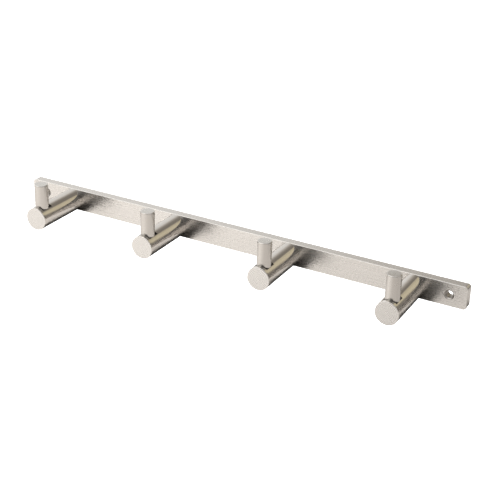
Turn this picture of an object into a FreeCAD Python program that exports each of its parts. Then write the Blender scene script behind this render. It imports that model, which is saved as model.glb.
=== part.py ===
"""Wall hook rack: a flat bar with round pegs, each with an upright pin near its free end.

Millimetres. The origin is the centre of the bar's back face, which lies against the wall.
+X runs along the bar, +Z is up, and the pegs stand out towards -Y.
"""
import FreeCAD, Part
import math
import os

V = FreeCAD.Vector
X_AXIS, Y_AXIS, Z_AXIS = V(1, 0, 0), V(0, 1, 0), V(0, 0, 1)

# ---- the flat bar -------------------------------------------------------------------------
BAR_LENGTH = 420.0
BAR_HEIGHT = 20.0
BAR_THICKNESS = 8.0
BAR_CORNER_RADIUS = 3.0
BAR_FRONT_CHAMFER = 0.5
BAR_BACK_CHAMFER = 0.3

# ---- the pegs -----------------------------------------------------------------------------
PEG_COUNT = 4
PEG_END_MARGIN = 45.0          # from the bar's end to the outer peg's axis
PEG_DIAMETER = 20.0
PEG_LENGTH = 55.0
PEG_END_CHAMFER = 0.4
PEG_ROOT_CHAMFER = 0.3

# ---- the upright pins ---------------------------------------------------------------------
PIN_DIAMETER = 12.0
PIN_RISE = 20.0                # from the peg's crest to the pin's top
PIN_SETBACK = 9.5              # from the peg's end face to the pin's axis
PIN_TOP_CHAMFER = 0.6
PIN_FOOT_CHAMFER = 0.2
SEAT_CLEARANCE = 0.1           # between the pin and each wall of its seat

# ---- the studs that join pin and peg (socket set screws) ----------------------------------
STUD_DIAMETER = 6.0
STUD_LENGTH = 16.0
STUD_CHAMFER = 0.7
STUD_SOCKET = 3.0              # across flats
STUD_SOCKET_DEPTH = 3.5
STUD_END_ROOM = 1.0            # free depth past each end of the stud

# ---- the countersunk screws that hold the pegs from behind --------------------------------
SCREW_DIAMETER = 6.0
SCREW_LENGTH = 20.0            # over all, head included
SCREW_HEAD_DIAMETER = 12.0
SCREW_HEAD_RIM = 0.3           # short cylinder at the head's edge
SCREW_SOCKET = 4.0             # across flats
SCREW_SOCKET_DEPTH = 2.5
SCREW_TIP_CHAMFER = 0.7
SCREW_HEAD_SINK = 0.2          # how far the head lies below the bar's back face
SCREW_HOLE_CLEARANCE = 0.3     # around the shank, in the bar
SCREW_END_ROOM = 2.0           # free depth past the screw's tip

# ---- the holes for the wall screws --------------------------------------------------------
WALL_HOLE_END_MARGIN = 15.0    # from the bar's end to the hole's axis
WALL_HOLE_DIAMETER = 6.0
WALL_COUNTERSINK_DIAMETER = 8.4

DRILL_POINT_ANGLE = 118.0

# ---- worked out from the values above -----------------------------------------------------
PEG_RADIUS = PEG_DIAMETER / 2
PIN_RADIUS = PIN_DIAMETER / 2
PEG_SPACING = (BAR_LENGTH - 2 * PEG_END_MARGIN) / (PEG_COUNT - 1)
PEG_ROOT_Y = -BAR_THICKNESS
PEG_END_Y = PEG_ROOT_Y - PEG_LENGTH
PIN_Y = PEG_END_Y + PIN_SETBACK
SEAT_Z = math.sqrt(PEG_RADIUS ** 2 - PIN_RADIUS ** 2)   # where the flat is as wide as the pin
PIN_TOP_Z = PEG_RADIUS + PIN_RISE
STUD_HALF = STUD_LENGTH / 2
SCREW_TIP_Y = -SCREW_HEAD_SINK - SCREW_LENGTH


def peg_positions():
    """The X of each peg's axis, from left to right."""
    first = -(PEG_COUNT - 1) * PEG_SPACING / 2
    return [first + index * PEG_SPACING for index in range(PEG_COUNT)]


def turned(points, start, axis):
    """A solid of revolution: (radius, distance along the axis) pairs, spun round the axis."""
    side = X_AXIS
    corners = [start + side * radius + axis * along for radius, along in points]
    outline = Part.makePolygon(corners + [corners[0]])
    solid = Part.Face(outline).revolve(start, axis, 360)
    return solid if solid.Volume > 0 else solid.reversed()


def chamfered_rod(radius, length, start, axis, start_chamfer, end_chamfer):
    """A round rod with a 45 degree chamfer at each end."""
    points = [
        (0, 0),
        (radius - start_chamfer, 0),
        (radius, start_chamfer),
        (radius, length - end_chamfer),
        (radius - end_chamfer, length),
        (0, length),
    ]
    return turned(points, start, axis)


def drilled_hole(radius, depth, start, axis):
    """A blind hole's cutter: a full-diameter stretch, then the drill's point."""
    point = radius / math.tan(math.radians(DRILL_POINT_ANGLE / 2))
    return turned([(0, 0), (radius, 0), (radius, depth), (0, depth + point)], start, axis)


def hex_socket(across_flats, depth, start, axis, flat_direction):
    """A hexagonal socket's cutter, from its mouth at start down along the axis."""
    corner = across_flats / math.sqrt(3)
    turn = FreeCAD.Rotation(axis, 60)
    spoke = flat_direction * corner
    corners = []
    for _ in range(6):
        corners.append(start + spoke)
        spoke = turn.multVec(spoke)
    outline = Part.makePolygon(corners + [corners[0]])
    return Part.Face(outline).extrude(axis * depth)


def bar_blank():
    """The flat bar, with its corners rounded in the front view and its edges eased."""
    box = Part.makeBox(BAR_LENGTH, BAR_THICKNESS, BAR_HEIGHT,
                       V(-BAR_LENGTH / 2, -BAR_THICKNESS, -BAR_HEIGHT / 2))
    corner_edges = [edge for edge in box.Edges if is_along(edge, Y_AXIS)]
    rounded = box.makeFillet(BAR_CORNER_RADIUS, corner_edges)
    eased = rounded.makeChamfer(BAR_FRONT_CHAMFER, edges_at_y(rounded, -BAR_THICKNESS))
    return eased.makeChamfer(BAR_BACK_CHAMFER, edges_at_y(eased, 0))


def is_along(edge, direction):
    ends = [vertex.Point for vertex in edge.Vertexes]
    return abs((ends[1] - ends[0]).normalize().dot(direction)) > 0.999


def edges_at_y(shape, y):
    """The edges that lie wholly in the plane at y."""
    return [edge for edge in shape.Edges
            if abs(edge.BoundBox.YMin - y) < 1e-6 and abs(edge.BoundBox.YMax - y) < 1e-6]


def wall_hole(x):
    """The cutter for a wall screw's hole, countersunk at 90 degrees from the front."""
    hole_radius = WALL_HOLE_DIAMETER / 2
    sink_radius = WALL_COUNTERSINK_DIAMETER / 2
    sink_depth = sink_radius - hole_radius
    points = [
        (0, 0),
        (sink_radius, 0),
        (hole_radius, sink_depth),
        (hole_radius, BAR_THICKNESS),
        (0, BAR_THICKNESS),
    ]
    return turned(points, V(x, -BAR_THICKNESS, 0), Y_AXIS)


def peg_screw_hole(x):
    """The cutter for a peg screw's hole, countersunk at 90 degrees from the back."""
    hole_radius = SCREW_DIAMETER / 2 + SCREW_HOLE_CLEARANCE
    rim_radius = SCREW_HEAD_DIAMETER / 2
    cone_start = SCREW_HEAD_SINK + SCREW_HEAD_RIM
    points = [
        (0, 0),
        (rim_radius, 0),
        (rim_radius, cone_start),
        (hole_radius, cone_start + rim_radius - hole_radius),
        (hole_radius, BAR_THICKNESS),
        (0, BAR_THICKNESS),
    ]
    return turned(points, V(x, 0, 0), -Y_AXIS)


def back_plate():
    plate = bar_blank()
    hole_x = BAR_LENGTH / 2 - WALL_HOLE_END_MARGIN
    cutters = [wall_hole(-hole_x), wall_hole(hole_x)]
    cutters += [peg_screw_hole(x) for x in peg_positions()]
    return plate.cut(cutters)


def peg(x):
    """A round peg: a flat seat milled across its crest, and a tapped hole at each joint."""
    rod = chamfered_rod(PEG_RADIUS, PEG_LENGTH, V(x, PEG_ROOT_Y, 0), -Y_AXIS,
                        PEG_ROOT_CHAMFER, PEG_END_CHAMFER)
    seat_length = PIN_DIAMETER + 2 * SEAT_CLEARANCE
    seat = Part.makeBox(PEG_DIAMETER, seat_length, PEG_RADIUS,
                        V(x - PEG_RADIUS, PIN_Y - seat_length / 2, SEAT_Z))
    screw_hole = drilled_hole(SCREW_DIAMETER / 2, PEG_ROOT_Y - SCREW_TIP_Y + SCREW_END_ROOM,
                              V(x, PEG_ROOT_Y, 0), -Y_AXIS)
    stud_hole = drilled_hole(STUD_DIAMETER / 2, STUD_HALF + STUD_END_ROOM,
                             V(x, PIN_Y, SEAT_Z), -Z_AXIS)
    return rod.cut([seat, screw_hole, stud_hole])


def hook_pin(x):
    """An upright pin that stands on the peg's seat, with a blind tapped hole in its foot."""
    rod = chamfered_rod(PIN_RADIUS, PIN_TOP_Z - SEAT_Z, V(x, PIN_Y, SEAT_Z), Z_AXIS,
                        PIN_FOOT_CHAMFER, PIN_TOP_CHAMFER)
    stud_hole = drilled_hole(STUD_DIAMETER / 2, STUD_HALF + STUD_END_ROOM,
                             V(x, PIN_Y, SEAT_Z), Z_AXIS)
    return rod.cut(stud_hole)


def pin_stud(x):
    """A socket set screw, half in the peg and half in the pin."""
    foot = V(x, PIN_Y, SEAT_Z - STUD_HALF)
    rod = chamfered_rod(STUD_DIAMETER / 2, STUD_LENGTH, foot, Z_AXIS, STUD_CHAMFER, STUD_CHAMFER)
    socket = hex_socket(STUD_SOCKET, STUD_SOCKET_DEPTH, foot + Z_AXIS * STUD_LENGTH,
                        -Z_AXIS, X_AXIS)
    return rod.cut(socket)


def peg_screw(x):
    """A countersunk socket screw, from the bar's back into the peg."""
    head_radius = SCREW_HEAD_DIAMETER / 2
    shank_radius = SCREW_DIAMETER / 2
    head_height = SCREW_HEAD_RIM + head_radius - shank_radius
    points = [
        (0, 0),
        (head_radius, 0),
        (head_radius, SCREW_HEAD_RIM),
        (shank_radius, head_height),
        (shank_radius, SCREW_LENGTH - SCREW_TIP_CHAMFER),
        (shank_radius - SCREW_TIP_CHAMFER, SCREW_LENGTH),
        (0, SCREW_LENGTH),
    ]
    head_face = V(x, -SCREW_HEAD_SINK, 0)
    screw = turned(points, head_face, -Y_AXIS)
    socket = hex_socket(SCREW_SOCKET, SCREW_SOCKET_DEPTH, head_face, -Y_AXIS, X_AXIS)
    return screw.cut(socket)


def write_step(name, shape):
    solid = shape.Solids[0]
    if len(shape.Solids) != 1 or not solid.isValid():
        raise ValueError(f"{name} is not one valid solid")
    solid.exportStep(f"parts/{name}.step")


os.makedirs("parts", exist_ok=True)
write_step("back_plate", back_plate())
for number, peg_x in enumerate(peg_positions(), start=1):
    write_step(f"peg_{number}", peg(peg_x))
    write_step(f"hook_pin_{number}", hook_pin(peg_x))
    write_step(f"pin_stud_{number}", pin_stud(peg_x))
    write_step(f"peg_screw_{number}", peg_screw(peg_x))
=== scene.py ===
"""Looks of the wall hook rack: satin stainless steel in a plain, softly lit studio.

Metres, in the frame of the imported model: the bar lies along X with its back at Y 0, the pegs
stand out towards -Y and the pins stand up along Z.
"""
import math

import bmesh
import bpy
from mathutils import Matrix, Quaternion, Vector


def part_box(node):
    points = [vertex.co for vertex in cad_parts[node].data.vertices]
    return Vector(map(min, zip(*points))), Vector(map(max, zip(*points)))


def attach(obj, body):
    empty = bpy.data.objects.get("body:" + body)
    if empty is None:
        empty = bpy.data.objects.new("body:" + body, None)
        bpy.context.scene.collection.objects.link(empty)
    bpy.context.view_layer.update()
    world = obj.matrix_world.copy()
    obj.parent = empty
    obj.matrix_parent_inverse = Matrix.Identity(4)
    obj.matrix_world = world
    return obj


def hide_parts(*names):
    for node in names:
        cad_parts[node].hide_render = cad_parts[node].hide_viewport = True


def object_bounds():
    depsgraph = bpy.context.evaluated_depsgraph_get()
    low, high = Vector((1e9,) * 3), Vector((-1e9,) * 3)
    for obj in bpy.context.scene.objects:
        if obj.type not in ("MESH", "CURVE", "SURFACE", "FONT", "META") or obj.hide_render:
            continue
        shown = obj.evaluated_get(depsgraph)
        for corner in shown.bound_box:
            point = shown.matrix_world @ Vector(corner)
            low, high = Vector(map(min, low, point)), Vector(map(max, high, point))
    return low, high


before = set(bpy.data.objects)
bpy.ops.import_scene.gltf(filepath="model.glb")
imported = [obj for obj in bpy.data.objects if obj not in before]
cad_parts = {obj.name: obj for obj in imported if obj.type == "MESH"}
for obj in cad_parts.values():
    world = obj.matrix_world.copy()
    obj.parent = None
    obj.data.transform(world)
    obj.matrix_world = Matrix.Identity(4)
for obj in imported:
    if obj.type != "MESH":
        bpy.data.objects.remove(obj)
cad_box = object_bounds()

MM = 0.001
TINY = 1e-6
X_AXIS, Y_AXIS, Z_AXIS = Vector((1, 0, 0)), Vector((0, 1, 0)), Vector((0, 0, 1))
ALL_ROUND = math.tau

# ---- small sizes that the frame's boxes don't give ----------------------------------------
BAR_CORNER_RADIUS = 3.0 * MM
BAR_FRONT_ROUNDING = 0.5 * MM
BAR_BACK_ROUNDING = 0.3 * MM
CELL_WIDTH = 17 * MM                 # the patch of the bar's face round each hole
HOLE_LIP = 0.3 * MM                  # flat ring left round a hole's mouth
HOLE_ROUNDING = 0.12 * MM

WALL_HOLE_END_MARGIN = 15.0 * MM
WALL_HOLE_RADIUS = 3.0 * MM
WALL_SINK_RADIUS = 4.2 * MM

PEG_END_ROUNDING = 0.4 * MM
PEG_ROOT_ROUNDING = 0.3 * MM
PIN_TOP_ROUNDING = 0.6 * MM
PIN_FOOT_ROUNDING = 0.2 * MM
SEAT_CLEARANCE = 0.1 * MM
SEAT_SHARE = 0.97                    # of the peg's radius: what is nearer the axis was milled

THREAD_RADIUS = 3.0 * MM
THREAD_PITCH = 1.0 * MM
THREAD_DEPTH = 0.55 * MM
SHANK_CLEARANCE = 0.3 * MM
HEAD_RIM = 0.3 * MM
SCREW_SOCKET = 4.0 * MM              # across flats
SCREW_SOCKET_DEPTH = 2.5 * MM
SCREW_END_ROOM = 2.0 * MM
STUD_SOCKET = 3.0 * MM               # across flats
STUD_SOCKET_DEPTH = 3.5 * MM
STUD_END_ROOM = 1.0 * MM
TIP_CHAMFER = 0.7 * MM
DRILL_POINT_ANGLE = math.radians(118)

ROUND_STEPS = 128                    # facets round a peg or a pin
SMALL_STEPS = 48                     # facets round a hole or a thread
CORNER_STEPS = 10
EDGE_STEPS = 3
SHARP_ANGLE = math.radians(35)       # edges that turn more than this stay sharp
FLAT_WEIGHT = 90                     # how much the large faces lead the shading
SQUARE_ON = 0.98                     # a flat face's normal has more than this along its axis
ROUGHLY_ON = 0.9                     # the same for a flat face and the start of its rounding
HOLE_PATCH_RADIUS = CELL_WIDTH / 2.6

PEG_NUMBERS = range(1, 1 + sum(name.startswith("peg_screw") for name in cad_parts))


def middle(node):
    low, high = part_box(node)
    return (low + high) / 2


def extent(node):
    low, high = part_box(node)
    return high - low


# ---- shaping ------------------------------------------------------------------------------
def everything(bm):
    return bm.verts[:] + bm.edges[:] + bm.faces[:]


def turned(bm, outline, centre, axis, side, steps):
    """Spins an outline round an axis. Its points are (radius, distance along, rounding)."""
    old = set(bm.verts) | set(bm.edges)
    points = [bm.verts.new(centre + side * radius + axis * along) for radius, along, _ in outline]
    for pair in zip(points, points[1:]):
        bm.edges.new(pair)
    for point, (_, _, rounding) in zip(points, outline):
        if rounding:
            bmesh.ops.bevel(bm, geom=[point], offset=rounding, segments=EDGE_STEPS, profile=0.5,
                            affect="VERTICES", material=-1)
    wire = [item for item in bm.verts[:] + bm.edges[:] if item not in old]
    bmesh.ops.spin(bm, geom=wire, cent=centre, axis=axis, dvec=(0, 0, 0), angle=ALL_ROUND,
                   steps=steps, use_merge=True, use_duplicate=False)
    made = [vert for vert in bm.verts if vert not in old]
    bmesh.ops.remove_doubles(bm, verts=made, dist=TINY)


def blind_hole(radius, depth, rounding):
    """An outline for a drilled hole, from the point at its bottom to the lip at its mouth."""
    point = radius / math.tan(DRILL_POINT_ANGLE / 2)
    return [
        (0, depth + point, 0),
        (radius, depth, 0),
        (radius, 0, rounding),
        (radius + HOLE_LIP, 0, 0),
    ]


def rim_edges(bm, centre, axis, along):
    """The open edges that lie in the plane across the axis at that distance."""
    return [edge for edge in bm.edges if len(edge.link_faces) == 1
            and all(abs((vert.co - centre).dot(axis) - along) < TINY for vert in edge.verts)]


def cut_across(bm, geom, point, normal):
    """Cuts new edges where a plane crosses the faces, and takes nothing away."""
    bmesh.ops.bisect_plane(bm, geom=geom, dist=TINY, plane_co=point, plane_no=normal)


def fill_between(bm, outer, inner):
    """Fills the flat ring between two closed loops of edges."""
    bmesh.ops.triangle_fill(bm, edges=outer + inner, use_beauty=True, use_dissolve=False)


def hex_socket(bm, mouth_edges, centre, axis, across_flats, depth):
    """Joins a round rim to a six-sided socket and sinks the socket along the axis."""
    old = set(bm.verts)
    turn = Z_AXIS.rotation_difference(axis).to_matrix().to_4x4()
    bmesh.ops.create_circle(bm, cap_ends=False, radius=across_flats / math.sqrt(3), segments=6,
                            matrix=Matrix.Translation(centre) @ turn)
    mouth = [edge for edge in bm.edges if all(vert not in old for vert in edge.verts)]
    fill_between(bm, mouth_edges, mouth)
    walls = bmesh.ops.extrude_edge_only(bm, edges=mouth)["geom"]
    bottom = [item for item in walls if isinstance(item, bmesh.types.BMVert)]
    bmesh.ops.translate(bm, verts=bottom, vec=axis * depth)
    bmesh.ops.contextual_create(bm, geom=[item for item in walls
                                          if isinstance(item, bmesh.types.BMEdge)
                                          and all(vert in bottom for vert in item.verts)])


def lathe_map(bm, centre, axis):
    """A map that holds each point's distance from the axis and its distance along it."""
    layer = bm.loops.layers.uv.new("lathe")
    for face in bm.faces:
        for loop in face.loops:
            arm = loop.vert.co - centre
            along = arm.dot(axis)
            loop[layer].uv = ((arm - axis * along).length, along)


def bar_map(bm):
    """A map whose first direction runs along the bar on every long face."""
    layer = bm.loops.layers.uv.new("bar")
    for face in bm.faces:
        upright = abs(face.normal.y) > abs(face.normal.z)
        for loop in face.loops:
            place = loop.vert.co
            loop[layer].uv = (place.x, place.z if upright else place.y)


def finished(name, bm, node, materials, choose):
    """A piece from a bmesh: choose(face) gives the number of the face's material."""
    bmesh.ops.recalc_face_normals(bm, faces=bm.faces)
    for face in bm.faces:
        face.smooth = True
        face.material_index = choose(face)
    mesh = bpy.data.meshes.new(name)
    bm.to_mesh(mesh)
    bm.free()
    mesh.set_sharp_from_angle(angle=SHARP_ANGLE)
    for material in materials:
        mesh.materials.append(material)
    piece = bpy.data.objects.new(name, mesh)
    bpy.context.scene.collection.objects.link(piece)
    keep_flats_flat(piece)
    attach(piece, "root")
    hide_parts(node)
    return piece


def keep_flats_flat(piece):
    """Leans the shading normals towards the large faces, so that roundings don't shade them."""
    weighted = piece.modifiers.new("weighted normals", "WEIGHTED_NORMAL")
    weighted.keep_sharp = True
    weighted.weight = FLAT_WEIGHT
    depsgraph = bpy.context.evaluated_depsgraph_get()
    shaded = bpy.data.meshes.new_from_object(piece.evaluated_get(depsgraph))
    piece.modifiers.remove(weighted)
    unshaded = piece.data
    piece.data = shaded
    bpy.data.meshes.remove(unshaded)
    shaded.name = piece.name


# ---- node helpers -------------------------------------------------------------------------
def node(tree, kind, inputs=None, **settings):
    """Adds a node. An input given a socket is linked to it, and any other gets the value."""
    made = tree.nodes.new(kind)
    for name, value in settings.items():
        setattr(made, name, value)
    for name, value in (inputs or {}).items():
        if isinstance(value, bpy.types.NodeSocket):
            tree.links.new(value, made.inputs[name])
        else:
            made.inputs[name].default_value = value
    return made


def math_node(tree, operation, first, second):
    return node(tree, "ShaderNodeMath", {0: first, 1: second}, operation=operation).outputs[0]


def remap(tree, value, low, high, to_low=0.0, to_high=1.0, curve="LINEAR"):
    made = node(tree, "ShaderNodeMapRange", {"Value": value, "From Min": low, "From Max": high,
                                             "To Min": to_low, "To Max": to_high},
                interpolation_type=curve)
    return made.outputs["Result"]


def blend_colour(tree, factor, first, second):
    made = node(tree, "ShaderNodeMix", data_type="RGBA")
    for index, value in ((0, factor), (6, first), (7, second)):
        if isinstance(value, bpy.types.NodeSocket):
            tree.links.new(value, made.inputs[index])
        else:
            made.inputs[index].default_value = value
    return made.outputs[2]


def effect(name, inputs, outputs):
    """A node group with the named sockets. Gives its tree, its input node and its output node."""
    tree = bpy.data.node_groups.new(name, "ShaderNodeTree")
    for label, kind, value in inputs:
        socket = tree.interface.new_socket(label, in_out="INPUT", socket_type=f"NodeSocket{kind}")
        if value is not None:
            socket.default_value = value
    for label, kind in outputs:
        tree.interface.new_socket(label, in_out="OUTPUT", socket_type=f"NodeSocket{kind}")
    return tree, tree.nodes.new("NodeGroupInput"), tree.nodes.new("NodeGroupOutput")


# ---- shared effects -----------------------------------------------------------------------
FINE_SHARE, BROAD_SHARE = 0.7, 0.3   # of the grain's height
STREAKS_FROM, STREAKS_FULL = 0.34, 0.66
SMUDGE_FROM, SMUDGE_FULL = 0.42, 0.68
SCRATCH_RUNS = (                     # how each layer is turned, and its waves per metre
    ((0.3, 0.2, 0.5), (40, 420, 420)),
    ((1.2, 0.7, 2.1), (30, 330, 330)),
)
SCRATCH_CONTOUR, SCRATCH_WIDTH = 0.5, 0.004
SCRATCH_GAPS_PER_METRE = 90.0
SCRATCHES_FROM, SCRATCHES_FULL = 0.52, 0.66


def grain_effect():
    """Brushing or turning lines: fine ones, and broader streaks under them."""
    tree, given, result = effect(
        "steel grain",
        [("Position", "Vector", None), ("Lines per metre", "Vector", (20, 4000, 4000)),
         ("Broadness", "Float", 0.12)],
        [("Height", "Float"), ("Streaks", "Float")])
    spread = node(tree, "ShaderNodeVectorMath", {0: given.outputs["Position"],
                                                 1: given.outputs["Lines per metre"]},
                  operation="MULTIPLY").outputs[0]
    fine = node(tree, "ShaderNodeTexNoise", {"Vector": spread, "Scale": 1.0, "Detail": 2.0,
                                             "Roughness": 0.6}).outputs["Fac"]
    broad_place = node(tree, "ShaderNodeVectorMath", {0: spread, "Scale": given.outputs["Broadness"]},
                       operation="SCALE").outputs[0]
    broad = node(tree, "ShaderNodeTexNoise", {"Vector": broad_place, "Scale": 1.0, "Detail": 3.0,
                                              "Roughness": 0.55}).outputs["Fac"]
    height = math_node(tree, "ADD", math_node(tree, "MULTIPLY", fine, FINE_SHARE),
                       math_node(tree, "MULTIPLY", broad, BROAD_SHARE))
    tree.links.new(height, result.inputs["Height"])
    streaks = remap(tree, broad, STREAKS_FROM, STREAKS_FULL)
    tree.links.new(streaks, result.inputs["Streaks"])
    return tree


def handling_effect():
    """Faint cloudy marks left by hands and cloths."""
    tree, given, result = effect(
        "handling marks", [("Position", "Vector", None), ("Marks per metre", "Float", 45.0)],
        [("Smudge", "Float")])
    warp = node(tree, "ShaderNodeTexNoise", {"Vector": given.outputs["Position"],
                                             "Scale": given.outputs["Marks per metre"],
                                             "Detail": 4.0, "Roughness": 0.5,
                                             "Distortion": 0.6}).outputs["Fac"]
    smudge = remap(tree, warp, SMUDGE_FROM, SMUDGE_FULL)
    tree.links.new(smudge, result.inputs["Smudge"])
    return tree


def scratch_effect():
    """Hairline scratches: the thin contours of a stretched noise, in two directions."""
    tree, given, result = effect(
        "hairline scratches", [("Position", "Vector", None), ("Density", "Float", 1.0)],
        [("Mask", "Float")])
    layers = []
    for turn, stretch in SCRATCH_RUNS:
        place = node(tree, "ShaderNodeMapping", {"Vector": given.outputs["Position"],
                                                 "Rotation": turn, "Scale": stretch}).outputs[0]
        field = node(tree, "ShaderNodeTexNoise", {"Vector": place, "Scale": given.outputs["Density"],
                                                  "Detail": 1.0}).outputs["Fac"]
        contour = node(tree, "ShaderNodeMath", {0: field, 1: SCRATCH_CONTOUR, 2: SCRATCH_WIDTH},
                       operation="COMPARE")
        layers.append(contour.outputs[0])
    gaps = node(tree, "ShaderNodeTexNoise", {"Vector": given.outputs["Position"],
                                             "Scale": SCRATCH_GAPS_PER_METRE}).outputs["Fac"]
    lines = math_node(tree, "MAXIMUM", *layers)
    kept = remap(tree, gaps, SCRATCHES_FROM, SCRATCHES_FULL)
    tree.links.new(math_node(tree, "MULTIPLY", lines, kept), result.inputs["Mask"])
    return tree


GRAIN = grain_effect()
HANDLING = handling_effect()
SCRATCHES = scratch_effect()


# ---- finishes -----------------------------------------------------------------------------
STEEL = (0.62, 0.593, 0.56, 1)
STEEL_STREAK = (0.585, 0.556, 0.52, 1)
ACROSS = 0.25                        # a quarter turn, from along the grain to across it

SMOOTHEST, ROUGHEST = 0.9, 1.15      # of the finish's own roughness, along its streaks
SMUDGE_ROUGHNESS = 0.03
SCRATCH_ROUGHNESS = 0.08
SCRATCH_HEIGHT = 0.5                 # of the grain's own height


def steel(name, pattern_map, lines, roughness, depth, anisotropy=0.0, blur_turn=0.0,
          light=STEEL, dark=STEEL_STREAK, broadness=0.3):
    """A steel finish: lines of grain per metre of its map, and how deep they are in metres.

    With anisotropy the blur is longer one way: along the grain turned by blur_turn full turns.
    """
    material = bpy.data.materials.new(name)
    material.use_nodes = True
    tree = material.node_tree
    tree.nodes.clear()
    place = node(tree, "ShaderNodeTexCoord").outputs["Object"]
    pattern = node(tree, "ShaderNodeUVMap", uv_map=pattern_map).outputs["UV"] if pattern_map else place
    grain = node(tree, "ShaderNodeGroup", node_tree=GRAIN)
    tree.links.new(pattern, grain.inputs["Position"])
    grain.inputs["Lines per metre"].default_value = lines
    grain.inputs["Broadness"].default_value = broadness
    marks = node(tree, "ShaderNodeGroup", node_tree=HANDLING)
    tree.links.new(place, marks.inputs["Position"])
    scratches = node(tree, "ShaderNodeGroup", node_tree=SCRATCHES)
    tree.links.new(place, scratches.inputs["Position"])

    colour = blend_colour(tree, grain.outputs["Streaks"], light, dark)
    satin = remap(tree, grain.outputs["Streaks"], 0, 1, roughness * SMOOTHEST,
                  roughness * ROUGHEST)
    handled = math_node(tree, "MULTIPLY", marks.outputs["Smudge"], SMUDGE_ROUGHNESS)
    scratched = math_node(tree, "MULTIPLY", scratches.outputs["Mask"], SCRATCH_ROUGHNESS)
    rough = math_node(tree, "ADD", satin, math_node(tree, "ADD", handled, scratched))
    grooves = math_node(tree, "MULTIPLY", scratches.outputs["Mask"], SCRATCH_HEIGHT)
    height = math_node(tree, "SUBTRACT", grain.outputs["Height"], grooves)
    bump = node(tree, "ShaderNodeBump", {"Height": height, "Strength": 1.0, "Distance": depth})
    shader = node(tree, "ShaderNodeBsdfPrincipled", {
        "Base Color": colour, "Metallic": 1.0, "Roughness": rough, "Normal": bump.outputs[0],
        "Anisotropic": anisotropy, "Anisotropic Rotation": blur_turn})
    if pattern_map == "bar":
        run = node(tree, "ShaderNodeTangent", direction_type="UV_MAP", uv_map=pattern_map)
        tree.links.new(run.outputs[0], shader.inputs["Tangent"])
    output = node(tree, "ShaderNodeOutputMaterial")
    tree.links.new(shader.outputs[0], output.inputs["Surface"])
    return material


def add_round_tangent(material, axis):
    """Points the finish's grain round the piece's axis."""
    tree = material.node_tree
    shader = next(made for made in tree.nodes if made.type == "BSDF_PRINCIPLED")
    run = node(tree, "ShaderNodeTangent", direction_type="RADIAL", axis=axis)
    tree.links.new(run.outputs[0], shader.inputs["Tangent"])
    return material


BRUSHED = steel("brushed bar steel", "bar", (14, 4200, 4200), roughness=0.25, depth=0.10e-6,
                anisotropy=0.7, blur_turn=ACROSS,
                light=(0.62, 0.597, 0.568, 1), dark=(0.605, 0.581, 0.55, 1))
SAWN = steel("linished end steel", None, (2600, 2600, 60), roughness=0.30, depth=1.0e-6)
# The hole walls' darker colour is painted shade: the shade that falls inside the holes.
DRILLED_PAINTED_SHADE = steel("drilled hole steel with painted shade", None, (30, 3500, 30), roughness=0.48, depth=2.0e-6,
                light=(0.52, 0.49, 0.455, 1), dark=(0.38, 0.355, 0.325, 1))
TURNED = add_round_tangent(
    steel("turned peg steel", "lathe", (900, 5200, 1), roughness=0.10, depth=0.15e-6,
          anisotropy=0.2, blur_turn=ACROSS), "Y")
FACED = steel("faced end steel", "lathe", (6000, 900, 1), roughness=0.26, depth=0.04e-6,
              light=(0.605, 0.588, 0.563, 1), dark=(0.595, 0.577, 0.55, 1))
DRAWN = add_round_tangent(
    steel("drawn pin steel", None, (3800, 3800, 16), roughness=0.20, depth=0.3e-6,
          anisotropy=0.35, blur_turn=ACROSS,
          light=(0.55, 0.525, 0.492, 1), dark=(0.52, 0.495, 0.462, 1)), "Z")
# The seat's near-black colour is painted shade: the shade in the gaps round the pin's foot, and in the
# stud's bore.
MILLED_SEAT_PAINTED_SHADE = steel("milled seat steel with painted shade", None, (3000, 90, 90), roughness=0.42, depth=1.5e-6,
               light=(0.09, 0.078, 0.068, 1), dark=(0.06, 0.052, 0.045, 1))
FASTENER = steel("plain fastener steel", None, (1500, 1500, 1500), roughness=0.33, depth=0.8e-6,
                 light=(0.46, 0.44, 0.415, 1), dark=(0.38, 0.36, 0.34, 1))


# ---- the pieces ---------------------------------------------------------------------------
def wall_hole_outline(thickness):
    """From the bar's front: the countersink's cone, then the hole."""
    sink = WALL_SINK_RADIUS - WALL_HOLE_RADIUS
    return [
        (WALL_SINK_RADIUS + HOLE_LIP, 0, 0),
        (WALL_SINK_RADIUS, 0, HOLE_ROUNDING),
        (WALL_HOLE_RADIUS, sink, HOLE_ROUNDING),
        (WALL_HOLE_RADIUS, thickness, HOLE_ROUNDING),
        (WALL_HOLE_RADIUS + HOLE_LIP, thickness, 0),
    ]


def peg_screw_hole_outline(screw, thickness):
    """From the bar's back: a short wall for the head's rim, its cone, then the shank's hole."""
    head = extent(screw).x / 2
    shank = THREAD_RADIUS + SHANK_CLEARANCE
    cone_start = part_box("back_plate")[1].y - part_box(screw)[1].y + HEAD_RIM
    return [
        (head + HOLE_LIP, 0, 0),
        (head, 0, HOLE_ROUNDING),
        (head, cone_start, 0),
        (shank, cone_start + head - shank, 0),
        (shank, thickness, HOLE_ROUNDING),
        (shank + HOLE_LIP, thickness, 0),
    ]


def drill(bm, x, outline, start_y, axis):
    """Cuts a round hole through the bar: its wall is turned, then both faces are filled to it."""
    for edge_x in (x - CELL_WIDTH / 2, x + CELL_WIDTH / 2):
        cut_across(bm, everything(bm), (edge_x, 0, 0), X_AXIS)
    patches = [face for face in bm.faces if abs(face.normal.y) > SQUARE_ON
               and abs(face.calc_center_median().x - x) < TINY]
    frames = [face.edges[:] for face in patches]
    bmesh.ops.delete(bm, geom=patches, context="FACES_ONLY")
    turned(bm, outline, Vector((x, start_y, 0)), axis, X_AXIS, SMALL_STEPS)
    for sides in frames:
        plane_y = sides[0].verts[0].co.y
        mouth = [edge for edge in rim_edges(bm, Vector((x, plane_y, 0)), Y_AXIS, 0)
                 if edge not in sides
                 and all(abs(vert.co.x - x) < CELL_WIDTH / 2 - TINY for vert in edge.verts)]
        fill_between(bm, sides, mouth)


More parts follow.
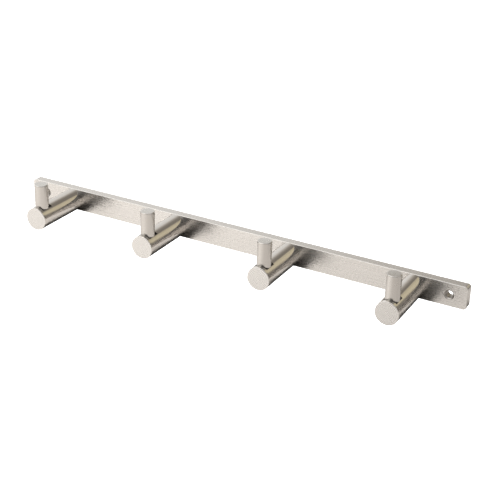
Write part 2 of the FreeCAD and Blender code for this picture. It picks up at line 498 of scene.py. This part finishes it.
def back_plate():
    """The flat bar, with its corners and edges rounded and its six holes."""
    low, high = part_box("back_plate")
    size = high - low
    bm = bmesh.new()
    bmesh.ops.create_cube(bm, size=1.0, matrix=Matrix.Translation((low + high) / 2)
                          @ Matrix.Diagonal((*size, 1)))
    upright = [edge for edge in bm.edges
               if abs(edge.verts[0].co.y - edge.verts[1].co.y) > size.y / 2]
    bmesh.ops.bevel(bm, geom=upright, offset=BAR_CORNER_RADIUS, segments=CORNER_STEPS,
                    profile=0.5, affect="EDGES", material=-1)
    for y, rounding in ((low.y, BAR_FRONT_ROUNDING), (high.y, BAR_BACK_ROUNDING)):
        rim = [edge for edge in bm.edges if all(abs(vert.co.y - y) < TINY for vert in edge.verts)]
        bmesh.ops.bevel(bm, geom=rim, offset=rounding, segments=EDGE_STEPS, profile=0.5,
                        affect="EDGES", material=-1)
    hole_x = high.x - WALL_HOLE_END_MARGIN
    for x in (-hole_x, hole_x):
        drill(bm, x, wall_hole_outline(size.y), low.y, Y_AXIS)
    for number in PEG_NUMBERS:
        screw = f"peg_screw_{number}"
        drill(bm, middle(screw).x, peg_screw_hole_outline(screw, size.y), high.y, -Y_AXIS)
    bar_map(bm)
    hole_centres = [Vector((x, 0, 0)) for x in (-hole_x, hole_x)]
    hole_centres += [Vector((middle(f"peg_screw_{number}").x, 0, 0)) for number in PEG_NUMBERS]

    def choose(face):
        place = face.calc_center_median()
        place_in_face = Vector((place.x, 0, place.z))
        in_hole = any((place_in_face - centre).length < HOLE_PATCH_RADIUS
                      for centre in hole_centres)
        # a hole's countersink and bore take the darker finish, which is painted shade
        if in_hole and abs(face.normal.y) < SQUARE_ON:
            return 1
        return 2 if abs(face.normal.x) > ROUGHLY_ON else 0

    return finished("back_plate_shown", bm, "back_plate",
                    [BRUSHED, DRILLED_PAINTED_SHADE, SAWN], choose)


def peg(number):
    """A round peg with its tapped root and the flat seat milled across its crest."""
    name = f"peg_{number}"
    pin, stud, screw = f"hook_pin_{number}", f"pin_stud_{number}", f"peg_screw_{number}"
    low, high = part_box(name)
    radius = (high.x - low.x) / 2
    root = Vector((middle(name).x, high.y, 0))
    length = high.y - low.y
    hole_depth = high.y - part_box(screw)[0].y + SCREW_END_ROOM
    bm = bmesh.new()
    outline = blind_hole(THREAD_RADIUS, hole_depth, HOLE_ROUNDING) + [
        (radius, 0, PEG_ROOT_ROUNDING),
        (radius, length, PEG_END_ROUNDING),
        (0, length, 0),
    ]
    turned(bm, outline, root, -Y_AXIS, X_AXIS, ROUND_STEPS)
    seat_low, seat_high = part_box(pin)
    seat_floor = Vector((root.x, middle(pin).y, seat_low.z))
    mill_seat(bm, seat_floor, seat_low.y - SEAT_CLEARANCE, seat_high.y + SEAT_CLEARANCE)
    stud_depth = seat_floor.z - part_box(stud)[0].z + STUD_END_ROOM
    bore_seat(bm, seat_floor, stud_depth)
    lathe_map(bm, root, -Y_AXIS)

    def choose(face):
        place = face.calc_center_median()
        in_seat = seat_low.y - 2 * SEAT_CLEARANCE < place.y < seat_high.y + 2 * SEAT_CLEARANCE
        off_axis = math.hypot(place.x - root.x, place.z)
        # the seat and the stud's bore take the near-black finish, which is painted shade
        if in_seat and off_axis < radius * SEAT_SHARE:
            return 2
        in_bore = off_axis < THREAD_RADIUS + HOLE_LIP and place.y > low.y + TINY
        if in_bore and face.normal.y > -ROUGHLY_ON:
            return 2
        return 1 if abs(face.normal.y) > ROUGHLY_ON else 0

    return finished(f"{name}_shown", bm, name, [TURNED, FACED, MILLED_SEAT_PAINTED_SHADE], choose)


def mill_seat(bm, seat_floor, y_front, y_back):
    """Takes the crest off a peg between two planes, down to the seat's floor, and closes the cut."""
    for y in (y_front, y_back):
        cut_across(bm, everything(bm), (0, y, 0), Y_AXIS)
    between = [face for face in bm.faces if y_front < face.calc_center_median().y < y_back]
    parts = set(between)
    for face in between:
        parts.update(face.edges)
        parts.update(face.verts)
    cut_across(bm, list(parts), seat_floor, Z_AXIS)
    crest = [face for face in bm.faces if y_front < face.calc_center_median().y < y_back
             and face.calc_center_median().z > seat_floor.z]
    bmesh.ops.delete(bm, geom=crest, context="FACES")
    sides = [edge for edge in bm.edges if len(edge.link_faces) == 1
             and all(abs(vert.co.z - seat_floor.z) < TINY for vert in edge.verts)]
    sills = []
    for y in (y_front, y_back):
        corners = [vert for edge in sides for vert in edge.verts if abs(vert.co.y - y) < TINY]
        sill = bmesh.ops.contextual_create(bm, geom=corners)["edges"]
        arc = [edge for edge in bm.edges if len(edge.link_faces) == 1
               and all(abs(vert.co.y - y) < TINY for vert in edge.verts)]
        bmesh.ops.contextual_create(bm, geom=sill + arc)
        sills += sill
    bmesh.ops.contextual_create(bm, geom=sides + sills)


def bore_seat(bm, seat_floor, depth):
    """Sinks the stud's tapped hole into the seat."""
    seat = min((face for face in bm.faces if abs(face.normal.z) > SQUARE_ON),
               key=lambda face: (face.calc_center_median() - seat_floor).length)
    sides = seat.edges[:]
    bmesh.ops.delete(bm, geom=[seat], context="FACES_ONLY")
    hole = blind_hole(THREAD_RADIUS, depth, HOLE_ROUNDING)
    turned(bm, hole, seat_floor, -Z_AXIS, X_AXIS, SMALL_STEPS)
    mouth = [edge for edge in rim_edges(bm, seat_floor, Z_AXIS, 0) if edge not in sides]
    fill_between(bm, sides, mouth)


def hook_pin(number):
    """An upright pin: a tapped foot, a plain round body and a softened top."""
    name = f"hook_pin_{number}"
    low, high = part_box(name)
    radius, length = (high.x - low.x) / 2, high.z - low.z
    foot = Vector((middle(name).x, middle(name).y, low.z))
    hole_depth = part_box(f"pin_stud_{number}")[1].z - low.z + STUD_END_ROOM
    bm = bmesh.new()
    outline = blind_hole(THREAD_RADIUS, hole_depth, HOLE_ROUNDING) + [
        (radius, 0, PIN_FOOT_ROUNDING),
        (radius, length, PIN_TOP_ROUNDING),
        (0, length, 0),
    ]
    turned(bm, outline, foot, Z_AXIS, X_AXIS, ROUND_STEPS)
    lathe_map(bm, foot, Z_AXIS)

    def choose(face):
        return 1 if abs(face.normal.z) > ROUGHLY_ON else 0

    return finished(f"{name}_shown", bm, name, [DRAWN, FACED], choose)


def thread_outline(start, end):
    """A V thread from one distance to another, as an outline of ridges and grooves."""
    turns = int((end - start) / THREAD_PITCH)
    root = THREAD_RADIUS - THREAD_DEPTH
    points = []
    for turn in range(turns):
        along = start + turn * THREAD_PITCH
        points += [(root, along, 0), (THREAD_RADIUS - TINY, along + THREAD_PITCH / 2, 0)]
    return points + [(root, start + turns * THREAD_PITCH, 0)]


def pin_stud(number):
    """A socket set screw: threaded from end to end, with a hexagonal socket in its top."""
    name = f"pin_stud_{number}"
    low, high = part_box(name)
    top = Vector((middle(name).x, middle(name).y, high.z))
    length = high.z - low.z
    root = THREAD_RADIUS - THREAD_DEPTH
    bm = bmesh.new()
    outline = [(STUD_SOCKET / 2 + HOLE_LIP, 0, 0), (root, 0, 0)]
    outline += thread_outline(TIP_CHAMFER, length - TIP_CHAMFER)
    outline += [(root - TIP_CHAMFER / 2, length, 0), (0, length, 0)]
    turned(bm, outline, top, -Z_AXIS, X_AXIS, SMALL_STEPS)
    hex_socket(bm, rim_edges(bm, top, Z_AXIS, 0), top, -Z_AXIS, STUD_SOCKET, STUD_SOCKET_DEPTH)
    return finished(f"{name}_shown", bm, name, [FASTENER], lambda face: 0)


def peg_screw(number):
    """A countersunk socket screw, head at the bar's back."""
    name = f"peg_screw_{number}"
    low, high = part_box(name)
    head_face = Vector((middle(name).x, high.y, 0))
    head, length = (high.x - low.x) / 2, high.y - low.y
    root = THREAD_RADIUS - THREAD_DEPTH
    neck = HEAD_RIM + head - THREAD_RADIUS
    thread_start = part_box("back_plate")[1].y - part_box("back_plate")[0].y
    bm = bmesh.new()
    outline = [
        (SCREW_SOCKET / 2 + 2 * HOLE_LIP, 0, 0),
        (head, 0, HOLE_ROUNDING),
        (head, HEAD_RIM, 0),
        (THREAD_RADIUS, neck, 0),
        (THREAD_RADIUS, thread_start, 0),
    ]
    outline += thread_outline(thread_start + THREAD_DEPTH, length - TIP_CHAMFER)
    outline += [(root - TIP_CHAMFER / 2, length, 0), (0, length, 0)]
    turned(bm, outline, head_face, -Y_AXIS, X_AXIS, SMALL_STEPS)
    hex_socket(bm, rim_edges(bm, head_face, Y_AXIS, 0), head_face, -Y_AXIS,
               SCREW_SOCKET, SCREW_SOCKET_DEPTH)
    return finished(f"{name}_shown", bm, name, [FASTENER], lambda face: 0)


back_plate()
for number in PEG_NUMBERS:
    peg(number)
    hook_pin(number)
    pin_stud(number)
    peg_screw(number)


# ---- the studio ---------------------------------------------------------------------------
FLOOR_DROP = 0.30                    # from the rack's lowest point to the floor
FLOOR_RADIUS = 9.0
FLOOR_COLOUR = (0.5, 0.5, 0.5, 1)
FLOOR_ROUGHNESS = 0.9
FLOOR_GLOW = 0.8                     # keeps the floor white outside the lamp's light
TABLE_REACH = (1.6, 1.1)
TABLE_MIDDLE_Y = -0.2
TABLE_GAP = 0.2 * MM
TABLE_COLOUR = (0.205, 0.194, 0.184, 1)
TABLE_ROUGHNESS = 0.6

WALL_CORNERS = (-1.8, 0.84, -0.12), (1.5, 0.84, 1.5)
WALL_FALL = 0.75                     # metres, right plus up, until the wall is at its darkest
WALL_BRIGHTEST, WALL_DARKEST = 1.0, 0.29
WALL_LIT, WALL_SHADED = (1, 0.99, 0.97, 1), (1, 0.91, 0.80, 1)
BOARD_CORNERS = (0.28, 0.82, 0.15), (0.63, 0.82, 0.80)
BOARD_SHADED_WIDTH = 0.22            # from its left edge
BOARD_DARKEST = 0.78
BOARD_COLOUR = (0.82, 0.74, 0.55, 1)

LIT_SIDE = (-0.8, -0.1, 0.6)         # where the room is brightest
SIDE_REACH = 0.8                     # how far along that direction the shading goes, each way
ROOM_DARKEST, ROOM_BRIGHTEST = 0.45, 1.25
DARK_FRONT_DEPTH = 0.82
DARK_FRONT = ("X", -0.35, 0.0), ("Y", -0.25, -0.55), ("Z", 0.75, 0.55)

KEY_PLACE = (-0.37, -0.40, 0.90)
KEY_AIM = (0.20, -0.05, 0.0)
KEY_SIZE = 0.42
KEY_POWER = 49
BOX_DIRECTION = (-0.45, -0.40, 0.80)
BOX_EDGE, BOX_CORE = 0.88, 0.96      # along that direction: where its glow starts and is full
BOX_GLOW = 0.9                       # what the steel sees of the soft box


def plain(name, colour, roughness, glow=0.0):
    """A surface for the studio's own things, with a white glow of its own if it needs one."""
    material = bpy.data.materials.new(name)
    material.use_nodes = True
    shader = material.node_tree.nodes["Principled BSDF"]
    shader.inputs["Base Color"].default_value = colour
    shader.inputs["Roughness"].default_value = roughness
    shader.inputs["Emission Color"].default_value = (1, 1, 1, 1)
    shader.inputs["Emission Strength"].default_value = glow
    return material


def staged(name, bm, material):
    """A thing of the studio's, which isn't part of the rack."""
    mesh = bpy.data.meshes.new(name)
    bm.to_mesh(mesh)
    bm.free()
    mesh.materials.append(material)
    thing = bpy.data.objects.new(name, mesh)
    bpy.context.scene.collection.objects.link(thing)
    return thing


def floor():
    """A pale round floor, well below the rack. The steel doesn't mirror it."""
    bm = bmesh.new()
    bmesh.ops.create_circle(bm, cap_ends=True, radius=FLOOR_RADIUS, segments=64,
                            matrix=Matrix.Translation((0, 0, cad_box[0].z - FLOOR_DROP)))
    ground = staged("studio_floor", bm, plain("pale floor", FLOOR_COLOUR, FLOOR_ROUGHNESS,
                                          glow=FLOOR_GLOW))
    ground.visible_glossy = False
    return ground


def panel(name, low, high, tree_of_light):
    """An upright panel behind the rack that shows only in reflections. low and high are corners."""
    bm = bmesh.new()
    low, high = Vector(low), Vector(high)
    width, _, height = high - low
    upright = Matrix.Rotation(math.pi / 2, 4, "X")
    bmesh.ops.create_grid(bm, x_segments=1, y_segments=1, size=0.5,
                          matrix=Matrix.Translation((low + high) / 2) @ upright
                          @ Matrix.Diagonal((width, height, 1, 1)))
    material = bpy.data.materials.new(f"{name} surface")
    material.use_nodes = True
    tree = material.node_tree
    tree.nodes.clear()
    glow = tree_of_light(tree)
    output = node(tree, "ShaderNodeOutputMaterial")
    tree.links.new(glow.outputs[0], output.inputs["Surface"])
    thing = staged(name, bm, material)
    thing.visible_camera = False
    thing.visible_diffuse = False
    thing.visible_shadow = False


def back_wall_light(tree):
    """A wall that is lit from the left and falls off towards its upper right."""
    place = node(tree, "ShaderNodeTexCoord").outputs["Object"]
    slope = node(tree, "ShaderNodeVectorMath", {0: place, 1: (1, 0, 1)},
                 operation="DOT_PRODUCT").outputs["Value"]
    fall = remap(tree, slope, 0.0, WALL_FALL, curve="SMOOTHSTEP")
    shade = remap(tree, fall, 0, 1, WALL_BRIGHTEST, WALL_DARKEST)
    colour = blend_colour(tree, fall, WALL_LIT, WALL_SHADED)
    return node(tree, "ShaderNodeEmission", {"Color": colour, "Strength": shade})


def tan_board_light(tree):
    """A strip of unpainted board, darker at its left."""
    place = node(tree, "ShaderNodeTexCoord").outputs["Object"]
    across = node(tree, "ShaderNodeSeparateXYZ", {0: place}).outputs["X"]
    left = BOARD_CORNERS[0][0]
    shade = remap(tree, across, left, left + BOARD_SHADED_WIDTH, BOARD_DARKEST, 1.0)
    return node(tree, "ShaderNodeEmission", {"Color": BOARD_COLOUR, "Strength": shade})


def table():
    """The pale table that the rack stands on: only the steel sees it, with the rack's shadows."""
    bm = bmesh.new()
    centre = Vector((0, TABLE_MIDDLE_Y, cad_box[0].z - TABLE_GAP))
    bmesh.ops.create_grid(bm, x_segments=1, y_segments=1, size=0.5,
                          matrix=Matrix.Translation(centre) @ Matrix.Diagonal((*TABLE_REACH, 1, 1)))
    top = staged("studio_table", bm, plain("pale table", TABLE_COLOUR, TABLE_ROUGHNESS))
    top.visible_camera = False
    top.visible_diffuse = False
    top.visible_shadow = False
    return top


def darkened(tree, shade, direction, depth, ranges):
    """Takes depth off the light in a soft box of directions. Each range is (axis, edge, full)."""
    parts = node(tree, "ShaderNodeSeparateXYZ", {0: direction})
    mask = depth
    for axis, edge, full in ranges:
        mask = math_node(tree, "MULTIPLY", remap(tree, parts.outputs[axis], edge, full), mask)
    return math_node(tree, "MULTIPLY", shade, math_node(tree, "SUBTRACT", 1.0, mask))


def studio_world():
    """An even white for the eye, and a studio with a dark open front for all other light."""
    world = bpy.data.worlds.new("studio")
    bpy.context.scene.world = world
    world.use_nodes = True
    tree = world.node_tree
    tree.nodes.clear()
    direction = node(tree, "ShaderNodeTexCoord").outputs["Generated"]
    side = node(tree, "ShaderNodeVectorMath", {0: direction, 1: LIT_SIDE},
                operation="DOT_PRODUCT").outputs["Value"]
    shade = remap(tree, side, -SIDE_REACH, SIDE_REACH, ROOM_DARKEST, ROOM_BRIGHTEST)
    shade = darkened(tree, shade, direction, DARK_FRONT_DEPTH, DARK_FRONT)
    towards_box = node(tree, "ShaderNodeVectorMath", {0: direction, 1: BOX_DIRECTION},
                       operation="DOT_PRODUCT").outputs["Value"]
    box = remap(tree, towards_box, BOX_EDGE, BOX_CORE, 0, BOX_GLOW)
    shade = math_node(tree, "ADD", shade, box)
    even = node(tree, "ShaderNodeBackground", {"Color": (1, 1, 1, 1), "Strength": 1.0})
    shaded = node(tree, "ShaderNodeBackground", {"Color": (1, 1, 1, 1), "Strength": shade})
    path = node(tree, "ShaderNodeLightPath").outputs["Is Camera Ray"]
    mixed = node(tree, "ShaderNodeMixShader", {"Fac": path, 1: shaded.outputs[0], 2: even.outputs[0]})
    output = node(tree, "ShaderNodeOutputWorld")
    tree.links.new(mixed.outputs[0], output.inputs["Surface"])


def key_light(lit):
    """One soft box, high at the front left. It lights only the lit things, with their shadows."""
    light = bpy.data.lights.new("soft_key", "AREA")
    light.shape = "SQUARE"
    light.size = KEY_SIZE
    light.energy = KEY_POWER
    lamp = bpy.data.objects.new("soft_key", light)
    lamp.location = KEY_PLACE
    lamp.rotation_mode = "QUATERNION"
    lamp.rotation_quaternion = (Vector(KEY_AIM) - Vector(KEY_PLACE)).to_track_quat("-Z", "Y")
    bpy.context.scene.collection.objects.link(lamp)
    receivers = bpy.data.collections.new("lit by the soft key")
    for thing in lit:
        receivers.objects.link(thing)
    lamp.light_linking.receiver_collection = receivers


VIEW_AIM = Vector((25.8, -22.3, 1.9)) * MM
VIEW_AZIMUTH = math.radians(27.53)
VIEW_ELEVATION = math.radians(25.19)
VIEW_ROLL = math.radians(1.97)
VIEW_DISTANCE = 0.9553
VIEW_LENS = 82.6                     # mm
VIEW_SENSOR = 36.0                   # mm


def camera():
    """A long lens from the front right, a little above."""
    back = Vector((math.sin(VIEW_AZIMUTH) * math.cos(VIEW_ELEVATION),
                   -math.cos(VIEW_AZIMUTH) * math.cos(VIEW_ELEVATION), math.sin(VIEW_ELEVATION)))
    data = bpy.data.cameras.new("camera")
    data.lens = VIEW_LENS
    data.sensor_width = VIEW_SENSOR
    shot = bpy.data.objects.new("camera", data)
    shot.rotation_mode = "QUATERNION"
    shot.rotation_quaternion = ((-back).to_track_quat("-Z", "Y")
                                @ Quaternion((0, 0, 1), VIEW_ROLL))
    shot.location = VIEW_AIM + back * VIEW_DISTANCE
    bpy.context.scene.collection.objects.link(shot)
    bpy.context.scene.camera = shot


bpy.context.scene.view_settings.view_transform = "Standard"
ground = floor()
table_top = table()
studio_world()
panel("back_wall", *WALL_CORNERS, back_wall_light)
panel("tan_board", *BOARD_CORNERS, tan_board_light)
key_light((ground, table_top))
camera()
